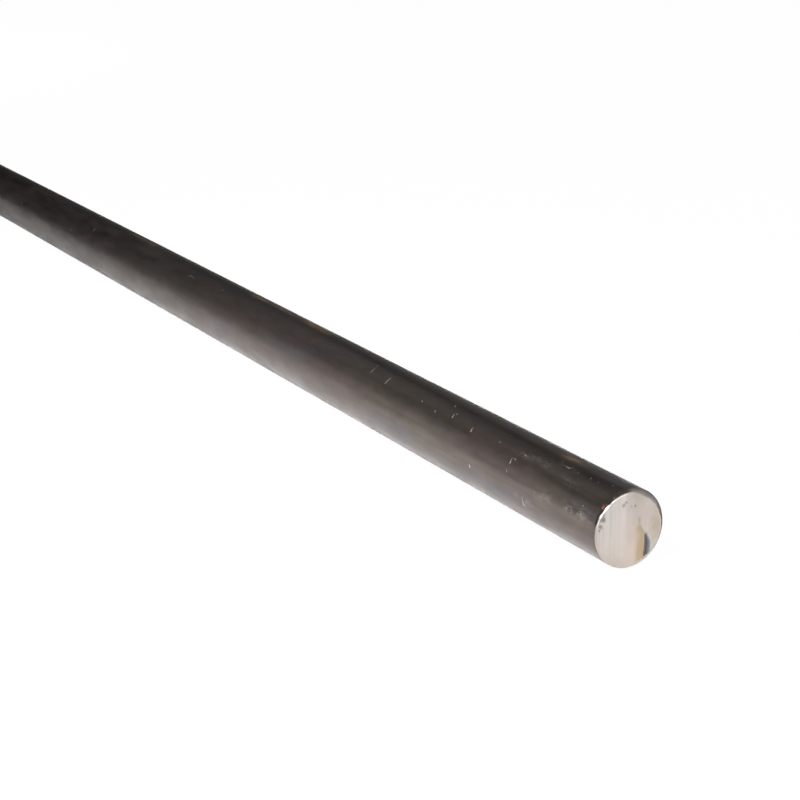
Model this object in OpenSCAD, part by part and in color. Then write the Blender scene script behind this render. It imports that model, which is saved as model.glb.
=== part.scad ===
// Round steel bar, hot rolled and sawn to length, lying on its side along X.
// The origin is on the floor under the middle of the bar. Sizes are in millimetres.

/* [Section] */
// Diameter of the rolled section
bar_diameter = 20; // [6:1:80]

/* [Length] */
// Length between the two sawn faces
bar_length = 1000; // [100:10:6000]

/* [Sawn ends] */
// Radius of the broken edge round each sawn face
edge_radius = 0.8; // [0.2:0.1:2.5]

/* [Hidden] */
$fn = 128;

bar_radius = bar_diameter / 2;

// Flat part of each sawn face, inside the broken edge
face_radius = bar_radius - edge_radius;

// Stretch of full diameter between the two broken edges
barrel_length = bar_length - 2 * edge_radius;

// Half of the bar's lengthwise section, from the axis out, with the bar's length along Y
module half_section() {
    translate([0, -bar_length / 2])
        square([face_radius, bar_length]);
    translate([0, -barrel_length / 2])
        square([bar_radius, barrel_length]);
    for (side = [-1, 1])
        translate([face_radius, side * barrel_length / 2])
            circle(r = edge_radius);
}

// The whole bar, rolled as one piece, resting on the floor
module bar() {
    color("#3f3a37")
        translate([0, 0, bar_radius])
            rotate([0, 90, 0])
                rotate_extrude()
                    half_section();
}

bar();
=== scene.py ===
import math
import random
import bpy
import bmesh
from mathutils import Matrix, Vector, noise


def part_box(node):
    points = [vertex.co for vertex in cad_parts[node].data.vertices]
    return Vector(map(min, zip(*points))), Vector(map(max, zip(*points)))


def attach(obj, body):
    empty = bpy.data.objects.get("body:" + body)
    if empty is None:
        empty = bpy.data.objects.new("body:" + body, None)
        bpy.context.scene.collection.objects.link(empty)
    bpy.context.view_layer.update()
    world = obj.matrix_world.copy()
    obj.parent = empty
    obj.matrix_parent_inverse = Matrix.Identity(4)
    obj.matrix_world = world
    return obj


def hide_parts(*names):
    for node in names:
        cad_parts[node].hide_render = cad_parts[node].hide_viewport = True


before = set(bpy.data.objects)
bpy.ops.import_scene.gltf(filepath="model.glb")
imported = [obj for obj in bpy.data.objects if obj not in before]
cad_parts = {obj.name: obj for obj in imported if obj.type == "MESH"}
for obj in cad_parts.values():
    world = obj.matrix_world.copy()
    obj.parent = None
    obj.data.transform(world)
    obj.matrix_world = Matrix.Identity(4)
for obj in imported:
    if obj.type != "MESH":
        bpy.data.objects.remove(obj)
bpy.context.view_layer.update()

# The bar's driving sizes, all from the frame
barLow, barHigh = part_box("bar")
frontX = barHigh.x  # the sawn face that the photograph shows
backX = barLow.x
barRadius = (barHigh.z - barLow.z) / 2
axisZ = barLow.z + barRadius
mm = 0.001
barLength = (frontX - backX) / mm  # in millimetres, as the marks on the bar are placed
hair = 1e-6  # two corners closer than this are one
sliver = 1e-7  # a cut runs through a corner that lies closer than this


# Camera

viewing = {
    "azimuth": 61.6,  # degrees round the bar, 90 looks straight at the sawn face
    "elevation": 16.8,  # degrees above the floor
    "focalPixels": 2000,
    "framePixels": 800,
    "sensor": 36.0,
    "facePixel": (629.0, 528.4),  # where the middle of the sawn face falls in the picture
    "faceDepth": 474.5 * mm,  # from the camera to the sawn face, along the line of sight
    "clipStart": 10 * mm,
}


def addCamera():
    turn = math.radians(viewing["azimuth"])
    rise = math.radians(viewing["elevation"])
    right = Vector((math.cos(turn), math.sin(turn), 0))
    back = Vector((math.sin(turn) * math.cos(rise), -math.cos(turn) * math.cos(rise), math.sin(rise)))
    up = back.cross(right)
    middle = viewing["framePixels"] / 2
    perPixel = viewing["faceDepth"] / viewing["focalPixels"]
    across = (viewing["facePixel"][0] - middle) * perPixel
    down = (viewing["facePixel"][1] - middle) * perPixel
    data = bpy.data.cameras.new("photoCamera")
    data.sensor_width = viewing["sensor"]
    data.lens = viewing["sensor"] * viewing["focalPixels"] / viewing["framePixels"]
    data.clip_start = viewing["clipStart"]
    camera = bpy.data.objects.new("photoCamera", data)
    bpy.context.collection.objects.link(camera)
    faceMiddle = Vector((frontX, 0, axisZ))
    place = faceMiddle + back * viewing["faceDepth"] - right * across + up * down
    turned = Matrix((right, up, back)).transposed().to_4x4()
    camera.matrix_world = Matrix.Translation(place) @ turned
    bpy.context.scene.camera = camera
    print("camera at", [round(c, 4) for c in place])


# Node helpers

grainRange = (0.3, 0.7)  # most of a grain's values lie between these


def newMaterial(name):
    material = bpy.data.materials.new(name)
    material.use_nodes = True
    tree = material.node_tree
    return material, tree, tree.nodes["Principled BSDF"]


def plug(tree, socket, value):
    if isinstance(value, bpy.types.NodeSocket):
        tree.links.new(value, socket)
    elif isinstance(value, tuple) and socket.type == "RGBA":
        socket.default_value = (*value, 1)
    else:
        socket.default_value = value


def addNode(tree, kind, inputs=None, **settings):
    node = tree.nodes.new("ShaderNode" + kind)
    for name, value in settings.items():
        setattr(node, name, value)
    for name, value in (inputs or {}).items():
        plug(tree, node.inputs[name], value)
    return node


def stretched(tree, scale, offset=(0, 0, 0)):
    coords = addNode(tree, "TexCoord").outputs["Object"]
    moved = addNode(tree, "Mapping", {"Vector": coords, "Scale": scale, "Location": offset})
    return moved.outputs["Vector"]


def grain(tree, scale, detail=3.0, roughness=0.55, distortion=0.0, offset=(0, 0, 0)):
    found = addNode(tree, "TexNoise", {
        "Vector": stretched(tree, scale, offset), "Scale": 1.0, "Detail": detail,
        "Roughness": roughness, "Distortion": distortion})
    return found.outputs["Fac"]


def between(tree, value, low, high, toLow=0.0, toHigh=1.0):
    ranged = addNode(tree, "MapRange", {
        "Value": value, "From Min": low, "From Max": high, "To Min": toLow, "To Max": toHigh},
        interpolation_type="SMOOTHSTEP")
    return ranged.outputs["Result"]


def sums(tree, operation, first, second):
    node = addNode(tree, "Math", {0: first, 1: second}, operation=operation)
    return node.outputs["Value"]


def blended(tree, share, first, second, kind="MIX"):
    node = addNode(tree, "Mix", data_type="RGBA", blend_type=kind)
    for index, value in ((0, share), (6, first), (7, second)):
        plug(tree, node.inputs[index], value)
    return node.outputs[2]


def painted(tree, name):
    return addNode(tree, "Attribute", attribute_name=name).outputs["Fac"]


def ramp(tree, value, stops):
    node = addNode(tree, "ValToRGB", {"Fac": value})
    band = node.color_ramp.elements
    band[0].color = (*stops[0][1], 1)
    band[1].color = (*stops[-1][1], 1)
    for place, colour in stops[1:-1]:
        band.new(place).color = (*colour, 1)
    return node.outputs["Color"]


def addBump(tree, shader, height, look):
    bump = addNode(tree, "Bump", {
        "Height": height, "Strength": look["bumpStrength"], "Distance": look["bumpDepth"]})
    plug(tree, shader.inputs["Normal"], bump.outputs["Normal"])


# Mill scale

scaleLook = {
    "brown": (0.0905, 0.069, 0.0635),
    "olive": (0.086, 0.0705, 0.0605),
    "blue": (0.077, 0.071, 0.075),
    # pale: rubbed scale, and a painted reflection along the crown
    "pale": (0.27, 0.24, 0.222),
    "rust": (0.40, 0.26, 0.13),
    "fleck": (0.5, 0.135, 0.115),
    "bare": (0.82, 0.77, 0.71),
    # Grains, all drawn out along the bar
    "patches": {"scale": (20, 90, 90), "detail": 4, "distortion": 0.7},
    "blues": {"scale": (25, 110, 110), "detail": 4, "distortion": 0.9, "offset": (7, 3, 1)},
    "streaks": {"scale": (9, 900, 900)},
    "torn": {"scale": (140, 380, 380), "roughness": 0.5, "distortion": 0.4, "offset": (1, 8, 5)},
    "scuffs": {"scale": (420, 1100, 1100), "detail": 4, "roughness": 0.6, "distortion": 0.6,
               "offset": (4, 2, 7)},
    "smudges": {"scale": (60, 220, 220), "detail": 5, "distortion": 0.5, "offset": (2, 9, 4)},
    "pebble": {"scale": (1500, 2200, 2200), "detail": 4},
    "swell": {"scale": (80, 260, 260), "detail": 1, "offset": (5, 1, 8)},
    # Grain values over which one colour turns into the next
    "patchEdge": (0.4, 0.6),
    "blueEdge": (0.52, 0.7),
    "scuffEdge": (0.4, 0.62),
    "rustEdge": (0.3, 0.55),
    # Darkest and lightest, then smoothest and roughest
    "streakTone": (0.94, 1.06),
    "tornTone": (0.9, 1.1),
    "roughness": (0.29, 0.41),
    "bareRoughness": 0.56,
    "pebbleShare": 0.12,
    "swellShare": 0.6,
    "bumpStrength": 0.18,
    "bumpDepth": 0.06 * mm,
}


def makeMillScale():
    look = scaleLook
    material, tree, shader = newMaterial("millScale")
    patches = between(tree, grain(tree, **look["patches"]), *look["patchEdge"])
    colour = blended(tree, patches, look["brown"], look["olive"])
    blues = between(tree, grain(tree, **look["blues"]), *look["blueEdge"])
    colour = blended(tree, blues, colour, look["blue"])
    torn = grain(tree, **look["torn"])
    tornTone = between(tree, torn, *grainRange, *look["tornTone"])
    streakTone = between(tree, grain(tree, **look["streaks"]), *grainRange, *look["streakTone"])
    colour = blended(tree, 1.0, colour, sums(tree, "MULTIPLY", streakTone, tornTone), "MULTIPLY")
    scuffs = between(tree, grain(tree, **look["scuffs"]), *look["scuffEdge"])
    # Pale streaks: rubbed scale, and a painted reflection in the line along the crown
    rubbedAndSheen = sums(tree, "MULTIPLY", painted(tree, "pale"), scuffs)
    colour = blended(tree, rubbedAndSheen, colour, look["pale"])
    rust = sums(tree, "MULTIPLY", painted(tree, "rust"), between(tree, torn, *look["rustEdge"]))
    colour = blended(tree, rust, colour, look["rust"])
    colour = blended(tree, painted(tree, "fleck"), colour, look["fleck"])
    bare = painted(tree, "bare")
    colour = blended(tree, bare, colour, look["bare"])
    plug(tree, shader.inputs["Base Color"], colour)
    plug(tree, shader.inputs["Metallic"], 1.0)
    scaleRough = between(tree, grain(tree, **look["smudges"]), *grainRange, *look["roughness"])
    bareRough = sums(tree, "MULTIPLY", bare, look["bareRoughness"])
    plug(tree, shader.inputs["Roughness"], sums(tree, "MAXIMUM", scaleRough, bareRough))
    pebble = sums(tree, "MULTIPLY", grain(tree, **look["pebble"]), look["pebbleShare"])
    swell = sums(tree, "MULTIPLY", grain(tree, **look["swell"]), look["swellShare"])
    addBump(tree, shader, sums(tree, "ADD", pebble, swell), look)
    return material


# Sawn steel

sawnLook = {
    "pink": (0.431, 0.371, 0.333),
    "grey": (0.424, 0.389, 0.355),
    "pit": (0.059, 0.055, 0.047),
    "burr": (0.9, 0.87, 0.84),
    "temper": (  # colours that the heat of the cut left, from the coolest to the hottest
        (0.0, (0.36, 0.307, 0.242)), (0.12, (0.455, 0.372, 0.328)), (0.3, (0.352, 0.288, 0.192)),
        (0.5, (0.378, 0.272, 0.175)), (0.6, (0.177, 0.127, 0.1)), (0.68, (0.074, 0.064, 0.055)),
        (0.78, (0.094, 0.104, 0.124)), (0.88, (0.148, 0.162, 0.177)), (1.0, (0.378, 0.38, 0.325))),
    # Grains, all drawn out up and down the face as the saw ran
    "sawLines": {"scale": (50, 2300, 60)},
    "bands": {"scale": (50, 420, 55), "detail": 2, "offset": (3, 0.4, 6)},
    "clouds": {"scale": (150, 150, 90), "distortion": 0.4},
    "bandEdge": (0.35, 0.65),
    "lineTone": (0.94, 1.03),  # darkest and lightest
    "cloudTone": (-0.06, 0.06),  # added to the tone of the lines
    "paintedSideLight": (-0.05, 0.15),  # painted light and shade, added from the camera's left to its right
    "sideReach": 0.6 * barRadius,
    "roughness": (0.37, 0.49),
    "bumpStrength": 0.2,
    "bumpDepth": 0.03 * mm,
}


def makeSawnSteel():
    look = sawnLook
    material, tree, shader = newMaterial("sawnSteel")
    bands = between(tree, grain(tree, **look["bands"]), *look["bandEdge"])
    steel = blended(tree, bands, look["pink"], look["grey"])
    tint = ramp(tree, painted(tree, "temper"), look["temper"])
    colour = blended(tree, painted(tree, "tempering"), steel, tint)
    sawLines = grain(tree, **look["sawLines"])
    lineTone = between(tree, sawLines, *grainRange, *look["lineTone"])
    cloudTone = between(tree, grain(tree, **look["clouds"]), *grainRange, *look["cloudTone"])
    place = addNode(tree, "SeparateXYZ", {"Vector": stretched(tree, (1, 1, 1))})
    # Painted light and shade: the face is made darker on the camera's left and lighter on its right
    paintedSideLight = between(tree, place.outputs["Y"], -look["sideReach"], look["sideReach"], *look["paintedSideLight"])
    tone = sums(tree, "ADD", sums(tree, "ADD", lineTone, cloudTone), paintedSideLight)
    colour = blended(tree, 1.0, colour, tone, "MULTIPLY")
    colour = blended(tree, painted(tree, "pit"), colour, look["pit"])
    colour = blended(tree, painted(tree, "burr"), colour, look["burr"])
    plug(tree, shader.inputs["Base Color"], colour)
    plug(tree, shader.inputs["Metallic"], 1.0)
    rough = between(tree, sawLines, *grainRange, *look["roughness"])
    plug(tree, shader.inputs["Roughness"], rough)
    addBump(tree, shader, sawLines, look)
    return material


# Where things lie on the bar: a clock angle of 0 faces the camera's left, 90 is the crown

shownClock = (-70, 125)  # clock angles that the photograph shows


def clockAngle(point):
    return math.atan2(point.z - axisZ, -point.y)


def barPoint(x, radius, angle):
    return Vector((x, -radius * math.cos(angle), axisZ + radius * math.sin(angle)))


def laidAlong(x):
    # Lays a shape that is made upright along the bar
    return Matrix.Translation((x, 0, axisZ)) @ Matrix.Rotation(math.radians(90), 4, "Y")


def smoothStep(value, low, high):
    share = min(max((value - low) / (high - low), 0), 1)
    return share * share * (3 - 2 * share)


def apart(first, second):
    # Degrees between two clock angles
    return abs((first - second + 180) % 360 - 180)


def isShown(distance, clock, reach):
    # The photographed stretch keeps to the marks that show there
    return distance < reach and shownClock[0] < clock < shownClock[1]


# The rolled barrel, made in short lengths that are joined end to end

barrel = {
    "segments": 180,
    "lengths": 16,
    "ringSpacing": 5.2 * mm,
    "fineSpacing": {0: 0.6 * mm, 1: 1.5 * mm, 2: 3.0 * mm, 15: 1.5 * mm},  # lengths near the sawn ends
    "ovalness": 0.035 * mm,
    "wave": 0.05 * mm,
    "waveAlong": 45,
    "waveRound": 2.2,
    "dimple": 0.022 * mm,
    "dimpleAlong": 130,
    "dimpleRound": 3.2,
}
paintNames = ("bare", "pale", "rust", "fleck", "burr", "temper", "tempering", "pit")


def newPiece():
    bm = bmesh.new()
    for name in paintNames:
        bm.verts.layers.float.new(name)
    bm.loops.layers.uv.new("OFBake")
    return bm


def relief(x, angle, along, around):
    # From about 0 to about 1
    place = Vector((x * along, around * math.cos(angle), around * math.sin(angle)))
    return 0.5 + 0.5 * noise.noise(place)


def rolledRadius(x, angle):
    low = barrel["ovalness"] * math.cos(angle) ** 2
    low += barrel["wave"] * relief(x, angle, barrel["waveAlong"], barrel["waveRound"])
    low += barrel["dimple"] * relief(x, angle, barrel["dimpleAlong"], barrel["dimpleRound"])
    return barRadius - low


def rollLength(start, stop, spacing):
    bm = newPiece()
    bmesh.ops.create_cone(bm, cap_ends=False, segments=barrel["segments"], radius1=barRadius,
                          radius2=barRadius, depth=abs(stop - start), matrix=laidAlong((start + stop) / 2))
    lengthwise = [e for e in bm.edges if abs(e.verts[0].co.x - e.verts[1].co.x) > spacing]
    cuts = round(abs(stop - start) / spacing) - 1
    bmesh.ops.subdivide_edges(bm, edges=lengthwise, cuts=cuts, use_grid_fill=True)
    for vert in bm.verts:
        angle = clockAngle(vert.co)
        vert.co = barPoint(vert.co.x, rolledRadius(vert.co.x, angle), angle)
    return bm


# Nicks cut into the scale: millimetres from the sawn face, clock angle, length, slant, brightness

nicking = {
    "placed": (
        (112, 62, 2.6, 88, 0.9), (111.9, 53, 0.8, 85, 1.0), (122.4, 65, 2.6, 72, 0.9),
        (123.2, 76, 0.8, 80, 1.0), (74.6, 58, 1.8, 60, 1.0), (73.9, 63, 0.9, 20, 0.7),
        (63.8, 52, 1.6, 65, 1.0), (63.2, 48, 0.7, -40, 0.8), (78.3, 75, 1.2, 30, 0.9),
        (82.5, 50, 1.2, 30, 1.0), (91, 55, 1.0, 30, 0.8), (41, 38, 1.8, 75, 1.0),
        (40.0, 43, 1.2, 15, 0.8), (40.8, 22, 1.0, 60, 0.7), (37.5, 55, 1.4, 20, 0.7),
        (50, 55, 1.2, 10, 0.4), (58, 0, 1.0, 60, 0.9), (32, -10, 2.4, 82, 0.6),
        (31.2, -14, 1.2, 40, 0.5), (6.6, 18, 0.6, 50, 0.9), (12.5, 16, 0.7, 60, 0.5),
        (6.9, 30, 0.6, 30, 0.6), (4.2, 78, 0.8, -30, 1.0), (8.7, 71, 1.0, 75, 0.4),
        (12, 72, 1.2, 60, 0.6), (17, 70, 1.2, 70, 0.35), (22, 70, 2.6, 4, 0.6),
        (25.4, 75, 1.2, 12, 0.35), (231, 68, 1.4, 20, 0.8), (239, 58, 1.4, 10, 0.6),
        (257, 61, 2.2, -30, 0.7), (129, -3, 1.2, 40, 0.6), (142, 80, 1.8, 10, 0.0),
        (130, 82, 1.6, 20, 0.0), (119, 92, 1.6, 20, 0.0), (200, 67, 2.0, 10, 0.0)),
    "shownReach": 300,  # millimetres from the sawn face
    "seed": 5,
    "scattered": 120,
    "endGap": 2,  # millimetres kept free at each end of the bar
    "lengths": (0.6, 2.4),
    "slants": (65, 35),  # the usual slant, and its spread
    "brightening": 0.7,  # a power below 1 makes more of them bright
    "width": 0.26 * mm,
    "guard": 0.05 * mm,  # a narrow edge on both sides, which stays as it was
    "depth": 0.07 * mm,
    "clear": 0.9 * mm,  # kept free at the joints between lengths
    "dullEnd": 0.35,  # brightness left at the end that was hit less hard
    "mottle": (0.8, 0.4),  # the usual brightness, and its spread
    "mottleScale": 2500,
    "shallowEnd": 0.4,  # share of the depth at both ends
}


def scatterNicks():
    draw = random.Random(nicking["seed"])
    nicks = list(nicking["placed"])
    while len(nicks) < len(nicking["placed"]) + nicking["scattered"]:
        distance = draw.uniform(nicking["endGap"], barLength - nicking["endGap"])
        clock = draw.uniform(-180, 180)
        if isShown(distance, clock, nicking["shownReach"]):
            continue
        length = draw.uniform(*nicking["lengths"])
        slant = draw.gauss(*nicking["slants"])
        nicks.append((distance, clock, length, slant, draw.random() ** nicking["brightening"]))
    return nicks


def cutNick(bm, nick, start, stop):
    distance, clock, length, slant, bright = nick
    length *= mm
    reach = nicking["clear"] + length / 2
    x = min(max(frontX - distance * mm, stop + reach), start - reach)
    angle = math.radians(clock)
    centre = barPoint(x, rolledRadius(x, angle), angle)
    outward = (centre - Vector((x, 0, axisZ))).normalized()
    upward = Vector((0, math.sin(angle), math.cos(angle)))
    lean = math.radians(slant)
    along = (Vector((-1, 0, 0)) * math.cos(lean) + upward * math.sin(lean)).normalized()
    across = outward.cross(along)
    half = nicking["width"] / 2
    guard = half + nicking["guard"]

    def crosses(face):
        # Only faces under the nick are cut, and none at the joint to the next length
        if any(v.is_boundary for v in face.verts):
            return False
        aside = [(v.co - centre).dot(across) for v in face.verts]
        ahead = [(v.co - centre).dot(along) for v in face.verts]
        beside = min(aside) > guard or max(aside) < -guard
        beyond = min(ahead) > length / 2 or max(ahead) < -length / 2
        outside = beside or beyond
        return not outside and face.normal.dot(outward) > 0

    near = [f for f in bm.faces if crosses(f)]
    planes = [(across, step) for step in (-guard, -half, 0, half, guard)]
    planes += [(along, step) for step in (-length / 2, length / 2)]
    for normal, step in planes:
        near = slicedFaces(bm, near, centre + normal * step, normal)
    bare = bm.verts.layers.float["bare"]
    tenths = round(distance * 10)
    heavy = 1 if tenths % 2 else -1  # the end of the nick that was hit harder
    usual, spread = nicking["mottle"]
    for vert in {v for f in near for v in f.verts}:
        aside = (vert.co - centre).dot(across)
        ahead = (vert.co - centre).dot(along)
        if abs(aside) < half + hair and abs(ahead) < length / 2 - hair:
            worn = smoothStep(ahead * heavy, -length / 2, length / 2)
            shine = nicking["dullEnd"] + (1 - nicking["dullEnd"]) * worn
            vert[bare] = bright * shine * (usual + spread * noise.noise(vert.co * nicking["mottleScale"]))
            if abs(aside) < hair:
                taper = 1 - (2 * ahead / length) ** 2
                share = nicking["shallowEnd"] + (1 - nicking["shallowEnd"]) * taper
                vert.co -= outward * nicking["depth"] * share


def slicedFaces(bm, faces, place, normal):
    edges = {e for f in faces for e in f.edges}
    verts = {v for f in faces for v in f.verts}
    cut = bmesh.ops.bisect_plane(bm, geom=[*faces, *edges, *verts], dist=sliver,
                                 plane_co=place, plane_no=normal)
    return [g for g in cut["geom"] if isinstance(g, bmesh.types.BMFace)]


# Rust and rubbed streaks painted along the bar, and a pale line along the crown that is a painted
# reflection

streaking = {  # start and stop in millimetres from the sawn face, clock angle, width in degrees, strength
    "rust": (
        (21, 28, 91, 5, 1.0), (160, 178, 95, 6, 1.0), (186, 202, 96, 4, 0.7), (206, 217, 96, 5, 1.0),
        (300, 324, 96, 7, 0.7), (372, 380, 100, 4, 0.6)),
    "pale": (
        (25, 36, 60, 8, 0.35), (4, 13, 18, 8, 0.75), (19, 26, 14, 7, 0.4), (18, 24, 70, 3, 0.8),
        # The two pale streaks at clock 101 are a painted reflection along the crown; the others are rubbed
        # scale
        (36, 39, 56, 7, 0.45), (13, 20, 50, 7, 0.3), (28, 36, -6, 6, 0.4), (2, 120, 101, 3, 0.6),
        (150, 320, 101, 3, 0.6)),
    "shownReach": 400,  # millimetres from the sawn face
    "seed": 3,
    "scattered": 40,
    "endGap": 30,  # millimetres at the far end in which none starts
    "lengths": (6, 40),
    "widths": (2, 6),
    "strengths": (0.2, 0.7),
    "fade": 4,  # millimetres to both sides of an end
    "widest": 2,  # widths to both sides of the middle
    "wander": 3,  # degrees
    "wanderLength": 6,
}


def scatterStreaks():
    draw = random.Random(streaking["seed"])
    found = {}
    for name in ("rust", "pale"):
        found[name] = list(streaking[name])
        for k in range(streaking["scattered"]):
            begin = draw.uniform(0, barLength - streaking["endGap"])
            clock = draw.uniform(-180, 180)
            if isShown(begin, clock, streaking["shownReach"]):
                continue
            end = begin + draw.uniform(*streaking["lengths"])
            width = draw.uniform(*streaking["widths"])
            strength = draw.uniform(*streaking["strengths"])
            found[name].append((begin, end, clock, width, strength))
    return found


def paintStreaks(bm, streaks, start, stop):
    near, far = sorted(((frontX - start) / mm, (frontX - stop) / mm))
    fade = streaking["fade"]
    for name, listed in streaks.items():
        layer = bm.verts.layers.float[name]
        here = [s for s in listed if s[1] + 2 * fade > near and s[0] - 2 * fade < far]
        for vert in bm.verts:
            distance = (frontX - vert.co.x) / mm
            clock = math.degrees(clockAngle(vert.co))
            stray = noise.noise(Vector((distance / streaking["wanderLength"], 0, streaking["seed"])))
            wander = streaking["wander"] * stray
            total = 0
            for begin, end, middle, width, strength in here:
                aside = apart(clock, middle + wander) / width
                if aside < streaking["widest"]:
                    lengthwise = smoothStep(distance, begin - fade, begin + fade)
                    lengthwise *= smoothStep(distance, end + fade, end - fade)
                    total = max(total, strength * lengthwise * math.exp(-aside * aside))
            vert[layer] = total


# Sawn ends: rim widths in millimetres by clock angle, wide where the edge was knocked back

endings = {
    "clear": 3.0 * mm,  # barrel that is made with the end
    "frontRim": (
        (-180, 0.6), (-165, 0.45), (-150, 0.25), (-130, 0.12), (-35, 0.1), (-22, 0.12), (-8, 0.18),
        (10, 0.32), (26, 0.62), (42, 0.95), (56, 1.08), (80, 1.05), (94, 0.85), (106, 1.1), (116, 1.6),
        (132, 1.4), (150, 1.15), (162, 0.9), (172, 0.72), (180, 0.6)),
    "frontBare": (  # share of the edge that lost its scale
        (-180, 0.0), (-150, 0.0), (-130, 0.33), (-40, 0.33), (-25, 0.08), (15, 0.05), (84, 0.05),
        (98, 0.45), (116, 0.58), (145, 0.5), (158, 0.22), (168, 0.0), (180, 0.0)),
    "backRim": ((-180, 0.6), (-60, 0.4), (60, 0.7), (180, 0.6)),
    "backBare": ((-180, 0.5), (-60, 0.8), (60, 0.2), (180, 0.5)),
    "unevenness": 0.12,  # share by which the rim's width strays
    "unevenRound": 5,
    "frontRow": 7,  # rows of the noise, one for each end
    "backRow": 2,
    # The chamfer: share of the way in from the barrel, and share of the depth that is left there
    "chamfer": ((0.0, 1.0), (0.08, 0.92), (0.4, 0.6), (0.75, 0.24), (1.0, 0.0)),
    "chamferDepth": 0.1 * mm,
    "scaledSlope": 0.33,  # depth that each width adds where the scale was bent over
    "scrapedSlope": 0.2,  # and where it was scraped off
    "scrapedFrom": 0.2,  # a barer edge than this counts as scraped
    "bareOutside": 0.35,  # share of the bareness at the chamfer's outer edge
    "specks": 0.35,  # bare specks in the scale that was bent over
    "speckRound": 14,
    "speckAcross": 3,
    "speckEdge": (0.2, 0.6),
    "speckStart": 0.3,  # share of the way in at which they are at full strength
    "fleckMiddle": 42,  # clock angle of a red fleck on the edge
    "fleckWidth": 3.0,
    "corner": 0.1 * mm,
    "facePlane": 0.06 * mm,  # how far the face lies behind the lip's crest
    "lipHeight": 0.27 * mm,
    "lipWidth": 0.2 * mm,
    "lipMiddle": 52,  # clock angle of the burr that the saw left
    "lipReach": (54, 20),
    "lipRagged": (0.75, 0.5),  # the usual height, and its spread
    "lipRound": 9,
    "lipRow": 4,
    "sharpRings": (1, 5, 6),  # barrel to chamfer, chamfer to lip, and the lip's crest
    "lipRing": 6,  # from here inwards the metal is sawn
    "land": 0.15 * mm,
    "landBurr": 0.4,
    "lines": 96,
    "lineJitter": 0.3,
    "lineDepth": 0.014 * mm,
    "rows": 48,
    "seed": 11,
    "wedgeDepth": 0.2 * mm,
    "pits": (  # millimetres from the middle of the face, and size
        (-7.45, 3.45, 0.95), (-8.0, 1.75, 0.75), (-7.0, 4.5, 0.4), (-8.35, 0.7, 0.35), (-6.75, 2.75, 0.3),
        (-1.6, 6.0, 0.7), (-1.05, 6.7, 0.45), (0.65, 5.6, 0.26), (1.7, 5.5, 0.26)),
    "pitRagged": 0.4,
    "pitGrain": 1.7,
    "pitEdge": (1.0, 0.4),
    "pitDepth": 0.12 * mm,
}

# Heat tint on the front face, a wedge that opens downwards

tinting = {  # millimetres from the middle of the face; colours are places on the temper ramp
    "tip": (3.0, 1.6),
    "leftDrop": 2.2,  # height over which the wedge opens to the left
    "leftOpening": 1.15,
    # Where the dark line starts and how wide the dark is, then the shift, top and foot of each bend
    "line": (3.4, ((1.3, 0.6, -2.2), (-0.25, -3, -8.5))),
    "darkWidth": (0.35, ((1.25, -1.6, -5.0), (-0.25, -6.5, -8.6))),
    "darkTop": (-1.7, -2.5),
    "darkColour": (0.64, 0.26),  # at the line, and added away from it
    "darkFade": (0.2, 1.0),
    "hazeColour": 0.12,
    "hazeStrength": 0.7,
    "hazeReach": (3.4, 1.0),  # left of the wedge
    "hazeTop": (2.5, -1.5),
    "strawStart": 0.5,
    "strawEdge": (0.7, 0.5),  # left and right of the wedge's side
    "strawColour": (0.14, 0.2, 0.18),  # at the left, added towards the line, and added lower down
    "strawLow": (-2, -7),
    "endColour": (0.9, 0.1),  # right of the dark, and added away from it
    "endFade": 0.4,
    "endReach": 1.6,
    "patch": (9.8, -0.2, 4.3, 6.5, 0.9),  # tan patch: middle, half width, half height, strength
    "patchColour": 0.0,
    "patchRagged": 0.25,
    "patchGrain": 1.5,
    "patchRow": 5,
    "patchEdge": (1.0, 0.4),
    "smearColour": 0.6,
    "smearStrength": 0.4,
    "smearWidth": 0.35,
    "smearFoot": (1.5, 0.6),  # below the tip
    "smearTop": (1.0, 0.2),  # above the tip
}


def readRim(points, clock):
    for (first, low), (second, high) in zip(points, points[1:]):
        if first <= clock <= second:
            return low + (high - low) * smoothStep(clock, first, second)
    return points[-1][1]


def ringNoise(angle, around, row):
    return noise.noise(Vector((around * math.cos(angle), around * math.sin(angle), row)))


def bentLine(z, place, bends):
    for shift, top, foot in bends:
        place += shift * smoothStep(z, top, foot)
    return place


def wedgeTint(y, z):
    # Colour, strength and depth, from the haze on the left through straw and dark to the right
    tint = tinting
    tipY, tipZ = tint["tip"]
    fall = smoothStep(z, tipZ, tipZ - tint["leftDrop"])
    left = tipY - tint["leftOpening"] * fall
    line = bentLine(z, *tint["line"])
    narrow, bends = tint["darkWidth"]
    right = bentLine(z, line + narrow, bends)
    below = smoothStep(z, *tint["darkTop"])
    haze = tint["hazeStrength"]
    if y <= left - tint["strawStart"]:
        far, close = tint["hazeReach"]
        strength = haze * smoothStep(y, left - far, left - close) * smoothStep(z, *tint["hazeTop"])
        return tint["hazeColour"], strength, 0
    if y <= line:
        warm = smoothStep(y, left - tint["strawStart"], line)
        first, warmer, lower = tint["strawColour"]
        before, after = tint["strawEdge"]
        straw = fall * smoothStep(y, left - before, left + after)
        colour = first + warmer * warm + lower * warm * smoothStep(z, *tint["strawLow"])
        return colour, max(straw, haze * smoothStep(z, *tint["hazeTop"])), 0
    if y <= right:
        share = (y - line) / (right - line)
        first, added = tint["darkColour"]
        return first + added * smoothStep(share, *tint["darkFade"]), below, (1 - share) * below
    first, added = tint["endColour"]
    colour = first + added * smoothStep(y, right, right + tint["endFade"])
    return colour, below * smoothStep(y, right + tint["endReach"], right), 0


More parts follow.
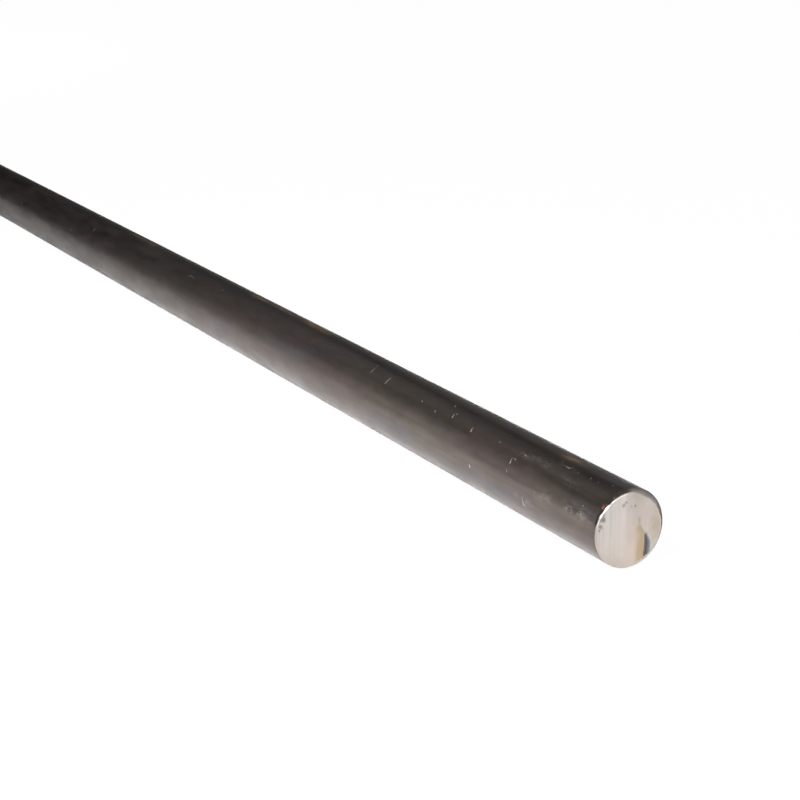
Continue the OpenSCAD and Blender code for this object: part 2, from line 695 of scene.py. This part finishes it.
def faceTint(y, z):
    # The strongest of the wedge, the tan patch and the smear above the wedge's tip
    tint = tinting
    colour, strength, sunk = wedgeTint(y, z)
    patchY, patchZ, wide, high, most = tint["patch"]
    fine = tint["patchGrain"]
    away = math.hypot((y - patchY) / wide, (z - patchZ) / high)
    away += tint["patchRagged"] * noise.noise(Vector((y / fine, z / fine, tint["patchRow"])))
    patch = most * smoothStep(away, *tint["patchEdge"])
    if patch > strength:
        return tint["patchColour"], patch, 0
    tipY, tipZ = tint["tip"]
    footLow, footHigh = tint["smearFoot"]
    topHigh, topLow = tint["smearTop"]
    smear = tint["smearStrength"] * math.exp(-((y - tipY) / tint["smearWidth"]) ** 2)
    smear *= smoothStep(z, tipZ - footLow, tipZ - footHigh)
    smear *= smoothStep(z, tipZ + topHigh, tipZ + topLow)
    if smear > strength:
        return tint["smearColour"], smear, 0
    return colour, strength, sunk


def pitShare(y, z, pitY, pitZ, size):
    fine = endings["pitGrain"]
    ragged = endings["pitRagged"] * noise.noise(Vector((y * fine, z * fine, pitY)))
    return smoothStep(math.hypot(y - pitY, z - pitZ) / size + ragged, *endings["pitEdge"])


def rimStations(front, angle):
    # From the barrel to the face: how far in, how deep behind the end, how bare, how red, how burred
    clock = math.degrees(angle)
    side = "front" if front else "back"
    width = readRim(endings[side + "Rim"], clock) * mm
    width *= 1 + endings["unevenness"] * ringNoise(angle, endings["unevenRound"], endings[side + "Row"])
    bare = readRim(endings[side + "Bare"], clock)
    lip = 0
    fleck = 0
    if front:
        usual, spread = endings["lipRagged"]
        ragged = usual + spread * ringNoise(angle, endings["lipRound"], endings["lipRow"])
        lip = smoothStep(apart(clock, endings["lipMiddle"]), *endings["lipReach"]) * ragged
        fleck = math.exp(-(apart(clock, endings["fleckMiddle"]) / endings["fleckWidth"]) ** 2)
    plane = endings["facePlane"]
    foot = plane + endings["lipHeight"] * lip
    slope = endings["scaledSlope"] + (endings["scrapedSlope"] - endings["scaledSlope"]) * bare
    fall = endings["chamferDepth"] + slope * width
    outside = endings["bareOutside"]
    stations = [(0, foot + fall + endings["corner"], 0, 0, 0)]
    for share, left in endings["chamfer"]:
        speck = ringNoise(angle, endings["speckRound"], endings["speckAcross"] * share)
        speckled = endings["specks"] * smoothStep(speck, *endings["speckEdge"])
        speckled *= smoothStep(share, 0, endings["speckStart"])
        speckled *= smoothStep(bare, endings["scrapedFrom"], 0.0)
        shown = bare * (outside + (1 - outside) * share) + speckled
        stations.append((width * share, foot + fall * left, shown, fleck, 0))
    crest = width + endings["lipWidth"]
    burr = min(lip, 1)
    stations.append((crest, plane * (1 - burr), 0, 0, burr))
    stations.append((crest + endings["land"], plane, 0, 0, burr * endings["landBurr"]))
    return stations


def turnRim(bm, front, end, inward):
    # Ring by ring from the barrel to the face; gives the innermost edges and the faces that are sawn
    begin = end + inward * endings["clear"]
    bmesh.ops.create_circle(bm, segments=barrel["segments"], radius=barRadius, matrix=laidAlong(begin))
    edges = list(bm.edges)
    bareness = endings["frontBare" if front else "backBare"]
    bare, fleck, burr = [bm.verts.layers.float[name] for name in ("bare", "fleck", "burr")]
    for vert in bm.verts:
        angle = clockAngle(vert.co)
        vert.co = barPoint(begin, rolledRadius(begin, angle), angle)
    sawn = set()
    for number in range(len(rimStations(front, 0))):
        made = bmesh.ops.extrude_edge_only(bm, edges=edges)["geom"]
        edges = [g for g in made if isinstance(g, bmesh.types.BMEdge)]
        if number >= endings["lipRing"]:
            sawn |= {f for e in edges for f in e.link_faces}
        for edge in edges:
            clock = math.degrees(clockAngle(edge.verts[0].co))
            scraped = readRim(bareness, clock) > endings["scrapedFrom"]
            edge.smooth = number not in endings["sharpRings"] or scraped
        for vert in made:
            if isinstance(vert, bmesh.types.BMVert):
                angle = clockAngle(vert.co)
                stepIn, behind, share, red, raised = rimStations(front, angle)[number]
                x = end + inward * behind
                vert.co = barPoint(x, rolledRadius(x, angle) - stepIn, angle)
                vert[bare] = share
                vert[fleck] = red
                vert[burr] = raised
    return edges, sawn


def sawFace(bm, front, edges, plane, inward, draw):
    # Fills the ring, cuts the saw lines across it, and tints and pits the front face
    cap = bmesh.ops.contextual_create(bm, geom=edges)["faces"]
    lineDepths = {}
    for k in range(1, endings["lines"]):
        jitter = draw.uniform(-endings["lineJitter"], endings["lineJitter"])
        y = barRadius * (2 * (k + jitter) / endings["lines"] - 1)
        lineDepths[y] = endings["lineDepth"] * draw.random() ** 2
        cap = slicedFaces(bm, cap, Vector((plane, y, axisZ)), Vector((0, 1, 0)))
    for k in range(1, endings["rows"]):
        z = axisZ + barRadius * (2 * k / endings["rows"] - 1)
        cap = slicedFaces(bm, cap, Vector((plane, 0, z)), Vector((0, 0, 1)))
    temper, tempering, pit = [bm.verts.layers.float[name] for name in ("temper", "tempering", "pit")]
    inside = set(cap)
    for vert in {v for f in cap for v in f.verts}:
        if not all(f in inside for f in vert.link_faces):
            continue
        nearest = min(lineDepths, key=lambda y: abs(y - vert.co.y))
        vert.co.x += inward * lineDepths[nearest]
        if front:
            y, z = vert.co.y / mm, (vert.co.z - axisZ) / mm
            vert[temper], vert[tempering], sunk = faceTint(y, z)
            vert.co.x += inward * endings["wedgeDepth"] * sunk
            for spot in endings["pits"]:
                share = pitShare(y, z, *spot)
                vert[pit] = max(vert[pit], share)
                vert.co.x += inward * endings["pitDepth"] * share
    return inside


def sawEnd(front, draw):
    bm = newPiece()
    end, inward = (frontX, -1) if front else (backX, 1)
    edges, sawn = turnRim(bm, front, end, inward)
    plane = end + inward * endings["facePlane"]
    inside = sawFace(bm, front, edges, plane, inward, draw)
    for face in sawn | inside:
        face.material_index = 1
    return bm


# The bake map: the barrel's lengths in a grid of cells, and the two sawn ends above them

unwrapping = {
    "columns": 4,
    "rows": 4,
    "barrelTop": 0.72,
    "gap": 0.005,
    "endAcross": 0.27,
    "endRadius": 13.5 * mm,
    "endCore": 1 * mm,  # closer to the middle of the face than this, nothing is spread more
}


def unwrapLength(bm, number, start, stop):
    layer = bm.loops.layers.uv["OFBake"]
    gap = unwrapping["gap"]
    wide = 1 / unwrapping["columns"]
    high = unwrapping["barrelTop"] / unwrapping["rows"]
    left = (number % unwrapping["columns"]) * wide + gap
    low = (number // unwrapping["columns"]) * high + gap
    for face in bm.faces:
        middle = clockAngle(face.calc_center_median())
        for loop in face.loops:
            angle = clockAngle(loop.vert.co)
            if abs(angle - middle) > math.pi:
                angle += math.copysign(2 * math.pi, middle - angle)
            around = (angle + math.pi) / (2 * math.pi)
            share = (loop.vert.co.x - start) / (stop - start)
            loop[layer].uv = (left + around * (wide - 2 * gap), low + share * (high - 2 * gap))


def unwrapEnd(bm, front):
    layer = bm.loops.layers.uv["OFBake"]
    half = unwrapping["endAcross"] / 2
    middle = Vector((half + (0 if front else 2 * half), 1 - half))
    end = frontX if front else backX
    for face in bm.faces:
        for loop in face.loops:
            place = loop.vert.co
            aside = Vector((place.y, place.z - axisZ))
            # The rim and the short barrel are laid flat round the face
            aside *= 1 + abs(end - place.x) / max(aside.length, unwrapping["endCore"])
            loop[layer].uv = middle + aside * (half / unwrapping["endRadius"])


def joinPiece(whole, carrier, bm):
    bm.to_mesh(carrier)
    bm.free()
    whole.from_mesh(carrier)


def makeBar(millScale, sawnSteel):
    mesh = bpy.data.meshes.new("rolledBar")
    mesh.materials.append(millScale)
    mesh.materials.append(sawnSteel)
    whole = newPiece()
    carrier = bpy.data.meshes.new("length")
    first = frontX - endings["clear"]
    last = backX + endings["clear"]
    nicks = scatterNicks()
    streaks = scatterStreaks()
    step = (last - first) / barrel["lengths"]
    for number in range(barrel["lengths"]):
        start = first + number * step
        stop = start + step
        bm = rollLength(start, stop, barrel["fineSpacing"].get(number, barrel["ringSpacing"]))
        paintStreaks(bm, streaks, start, stop)
        for nick in nicks:
            if stop <= frontX - nick[0] * mm < start:
                cutNick(bm, nick, start, stop)
        unwrapLength(bm, number, start, stop)
        joinPiece(whole, carrier, bm)
    print("barrel rolled in", barrel["lengths"], "lengths with", len(nicks), "nicks")
    draw = random.Random(endings["seed"])
    for front in (True, False):
        bm = sawEnd(front, draw)
        unwrapEnd(bm, front)
        joinPiece(whole, carrier, bm)
    print("both ends sawn")
    bpy.data.meshes.remove(carrier)
    bmesh.ops.remove_doubles(whole, verts=whole.verts, dist=hair)
    bmesh.ops.recalc_face_normals(whole, faces=whole.faces)
    loose = sum(e.is_boundary or not e.is_manifold for e in whole.edges)
    for face in whole.faces:
        face.smooth = True
    whole.to_mesh(mesh)
    whole.free()
    bar = bpy.data.objects.new("rolledBar", mesh)
    bpy.context.collection.objects.link(bar)
    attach(bar, "root")
    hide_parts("bar")
    mesh.calc_loop_triangles()
    print("bar made:", len(mesh.loop_triangles), "triangles,", loose, "open edges")


# Floor and light

studio = {
    "floorSize": 60.0,
    "floorColour": (0.86, 0.86, 0.86),
    "whiteToCamera": 0.985,
    "whiteToMetal": 0.08,  # share of white that the metal sees close by, where its own shadow would be
    "closeBy": (0.015, 0.06),
    "roomLow": 0.012,
    "roomHigh": 0.1,
    "roomRise": (0.38, 0.62),  # how high above the horizon the room turns lighter
    "fill": 0.45,  # more light from the far side of the room
    "fillSide": (0.36, 0.93),
    "fillReach": (-0.22, 0.9),
    "fillTop": (0.75, 0.35),
}
lamps = {  # place, aim, width, height, power, spread in degrees
    "key": ((0.6, -0.45, 0.5), (0.405, -0.18, 0), 0.25, 0.25, 1.56, 70),
    "lowKey": ((0.47, -0.5, 0.28), (0.405, -0.04, 0), 0.3, 0.2, 0.67, 68),
    "strip": ((0.2, -0.25, 1.0), (0.2, 0, 0), 1.6, 0.1, 1.2, 180),
    "frontBox": ((1.1, 0.15, 1.0), (0.2, 0.1, 0), 1.2, 0.7, 3.6, 180),
    "backBox": ((-0.1, 0.75, 0.6), (0, 0.1, 0), 1.2, 0.3, 0.4, 180),
    "backKey": ((-0.75, 0.3, 0.5), (-0.55, 0, 0), 0.25, 0.25, 0.76, 50),
    "leftCard": ((-0.38, -0.45, 0.12), (-0.15, 0, 0.05), 0.27, 0.24, 0.205, 180),
    "highCard": ((-0.57, -0.42, 0.37), (0.3, 0, 0.02), 0.35, 0.26, 0.09, 180),
    "nearCard": ((0.0, -0.32, 0.14), (0.4, 0, 0.02), 0.2, 0.2, 0.13, 180),
    "topCard": ((-0.5, 0.05, 0.6), (0.35, 0, 0.02), 0.5, 0.3, 0.19, 180),
    "slantCard": ((-0.22, -0.25, 0.41), (0.45, 0, 0.02), 0.28, 0.3, 0.09, 180),
}


def addFloor():
    bm = bmesh.new()
    bmesh.ops.create_grid(bm, x_segments=1, y_segments=1, size=studio["floorSize"] / 2)
    mesh = bpy.data.meshes.new("floor")
    bm.to_mesh(mesh)
    bm.free()
    floor = bpy.data.objects.new("floor", mesh)
    bpy.context.collection.objects.link(floor)
    material, tree, shader = newMaterial("paleFloor")
    tree.nodes.remove(shader)
    path = addNode(tree, "LightPath")
    metal = sums(tree, "MAXIMUM", path.outputs["Is Glossy Ray"], path.outputs["Is Transmission Ray"])
    place = addNode(tree, "SeparateXYZ", {"Vector": addNode(tree, "TexCoord").outputs["Object"]})
    aside = addNode(tree, "Math", {0: place.outputs["Y"]}, operation="ABSOLUTE").outputs["Value"]
    metal = sums(tree, "MULTIPLY", metal, between(tree, aside, *studio["closeBy"], 1, 0))
    toMetal = sums(tree, "MULTIPLY", metal, studio["whiteToMetal"])
    toCamera = sums(tree, "MULTIPLY", path.outputs["Is Camera Ray"], studio["whiteToCamera"])
    share = sums(tree, "MAXIMUM", toCamera, toMetal)
    matt = addNode(tree, "BsdfDiffuse", {"Color": studio["floorColour"]})
    white = addNode(tree, "Emission", {"Strength": 1.0})
    mixed = addNode(tree, "MixShader", {0: share, 1: matt.outputs[0], 2: white.outputs[0]})
    tree.links.new(mixed.outputs[0], tree.nodes["Material Output"].inputs["Surface"])
    mesh.materials.append(material)
    print("floor laid")


def addRoom():
    world = bpy.data.worlds.new("dimRoom")
    bpy.context.scene.world = world
    world.use_nodes = True
    tree = world.node_tree
    background = tree.nodes["Background"]
    background.inputs["Color"].default_value = (1, 1, 1, 1)
    path = addNode(tree, "LightPath")
    direction = addNode(tree, "SeparateXYZ", {"Vector": addNode(tree, "TexCoord").outputs["Generated"]})
    room = between(tree, direction.outputs["Z"], *studio["roomRise"], studio["roomLow"], studio["roomHigh"])
    sideX, sideY = studio["fillSide"]
    side = sums(tree, "ADD", sums(tree, "MULTIPLY", direction.outputs["X"], sideX),
                sums(tree, "MULTIPLY", direction.outputs["Y"], sideY))
    fill = between(tree, side, *studio["fillReach"], 0, studio["fill"])
    fill = sums(tree, "MULTIPLY", fill, between(tree, direction.outputs["Z"], *studio["fillTop"]))
    strength = sums(tree, "MAXIMUM", path.outputs["Is Camera Ray"], sums(tree, "ADD", room, fill))
    plug(tree, background.inputs["Strength"], strength)


def addLamps():
    for name, (place, aim, width, height, power, spread) in lamps.items():
        data = bpy.data.lights.new(name, "AREA")
        data.shape = "RECTANGLE"
        data.size = width
        data.size_y = height
        data.energy = power
        data.spread = math.radians(spread)
        lamp = bpy.data.objects.new(name, data)
        bpy.context.collection.objects.link(lamp)
        lamp.location = place
        lamp.rotation_euler = (Vector(aim) - Vector(place)).to_track_quat("-Z", "Y").to_euler()
        lamp.visible_camera = False
    print("room lit by", len(lamps), "lamps")


addCamera()
makeBar(makeMillScale(), makeSawnSteel())
addFloor()
addRoom()
addLamps()
bpy.context.scene.view_settings.view_transform = "Standard"
print("scene ready")
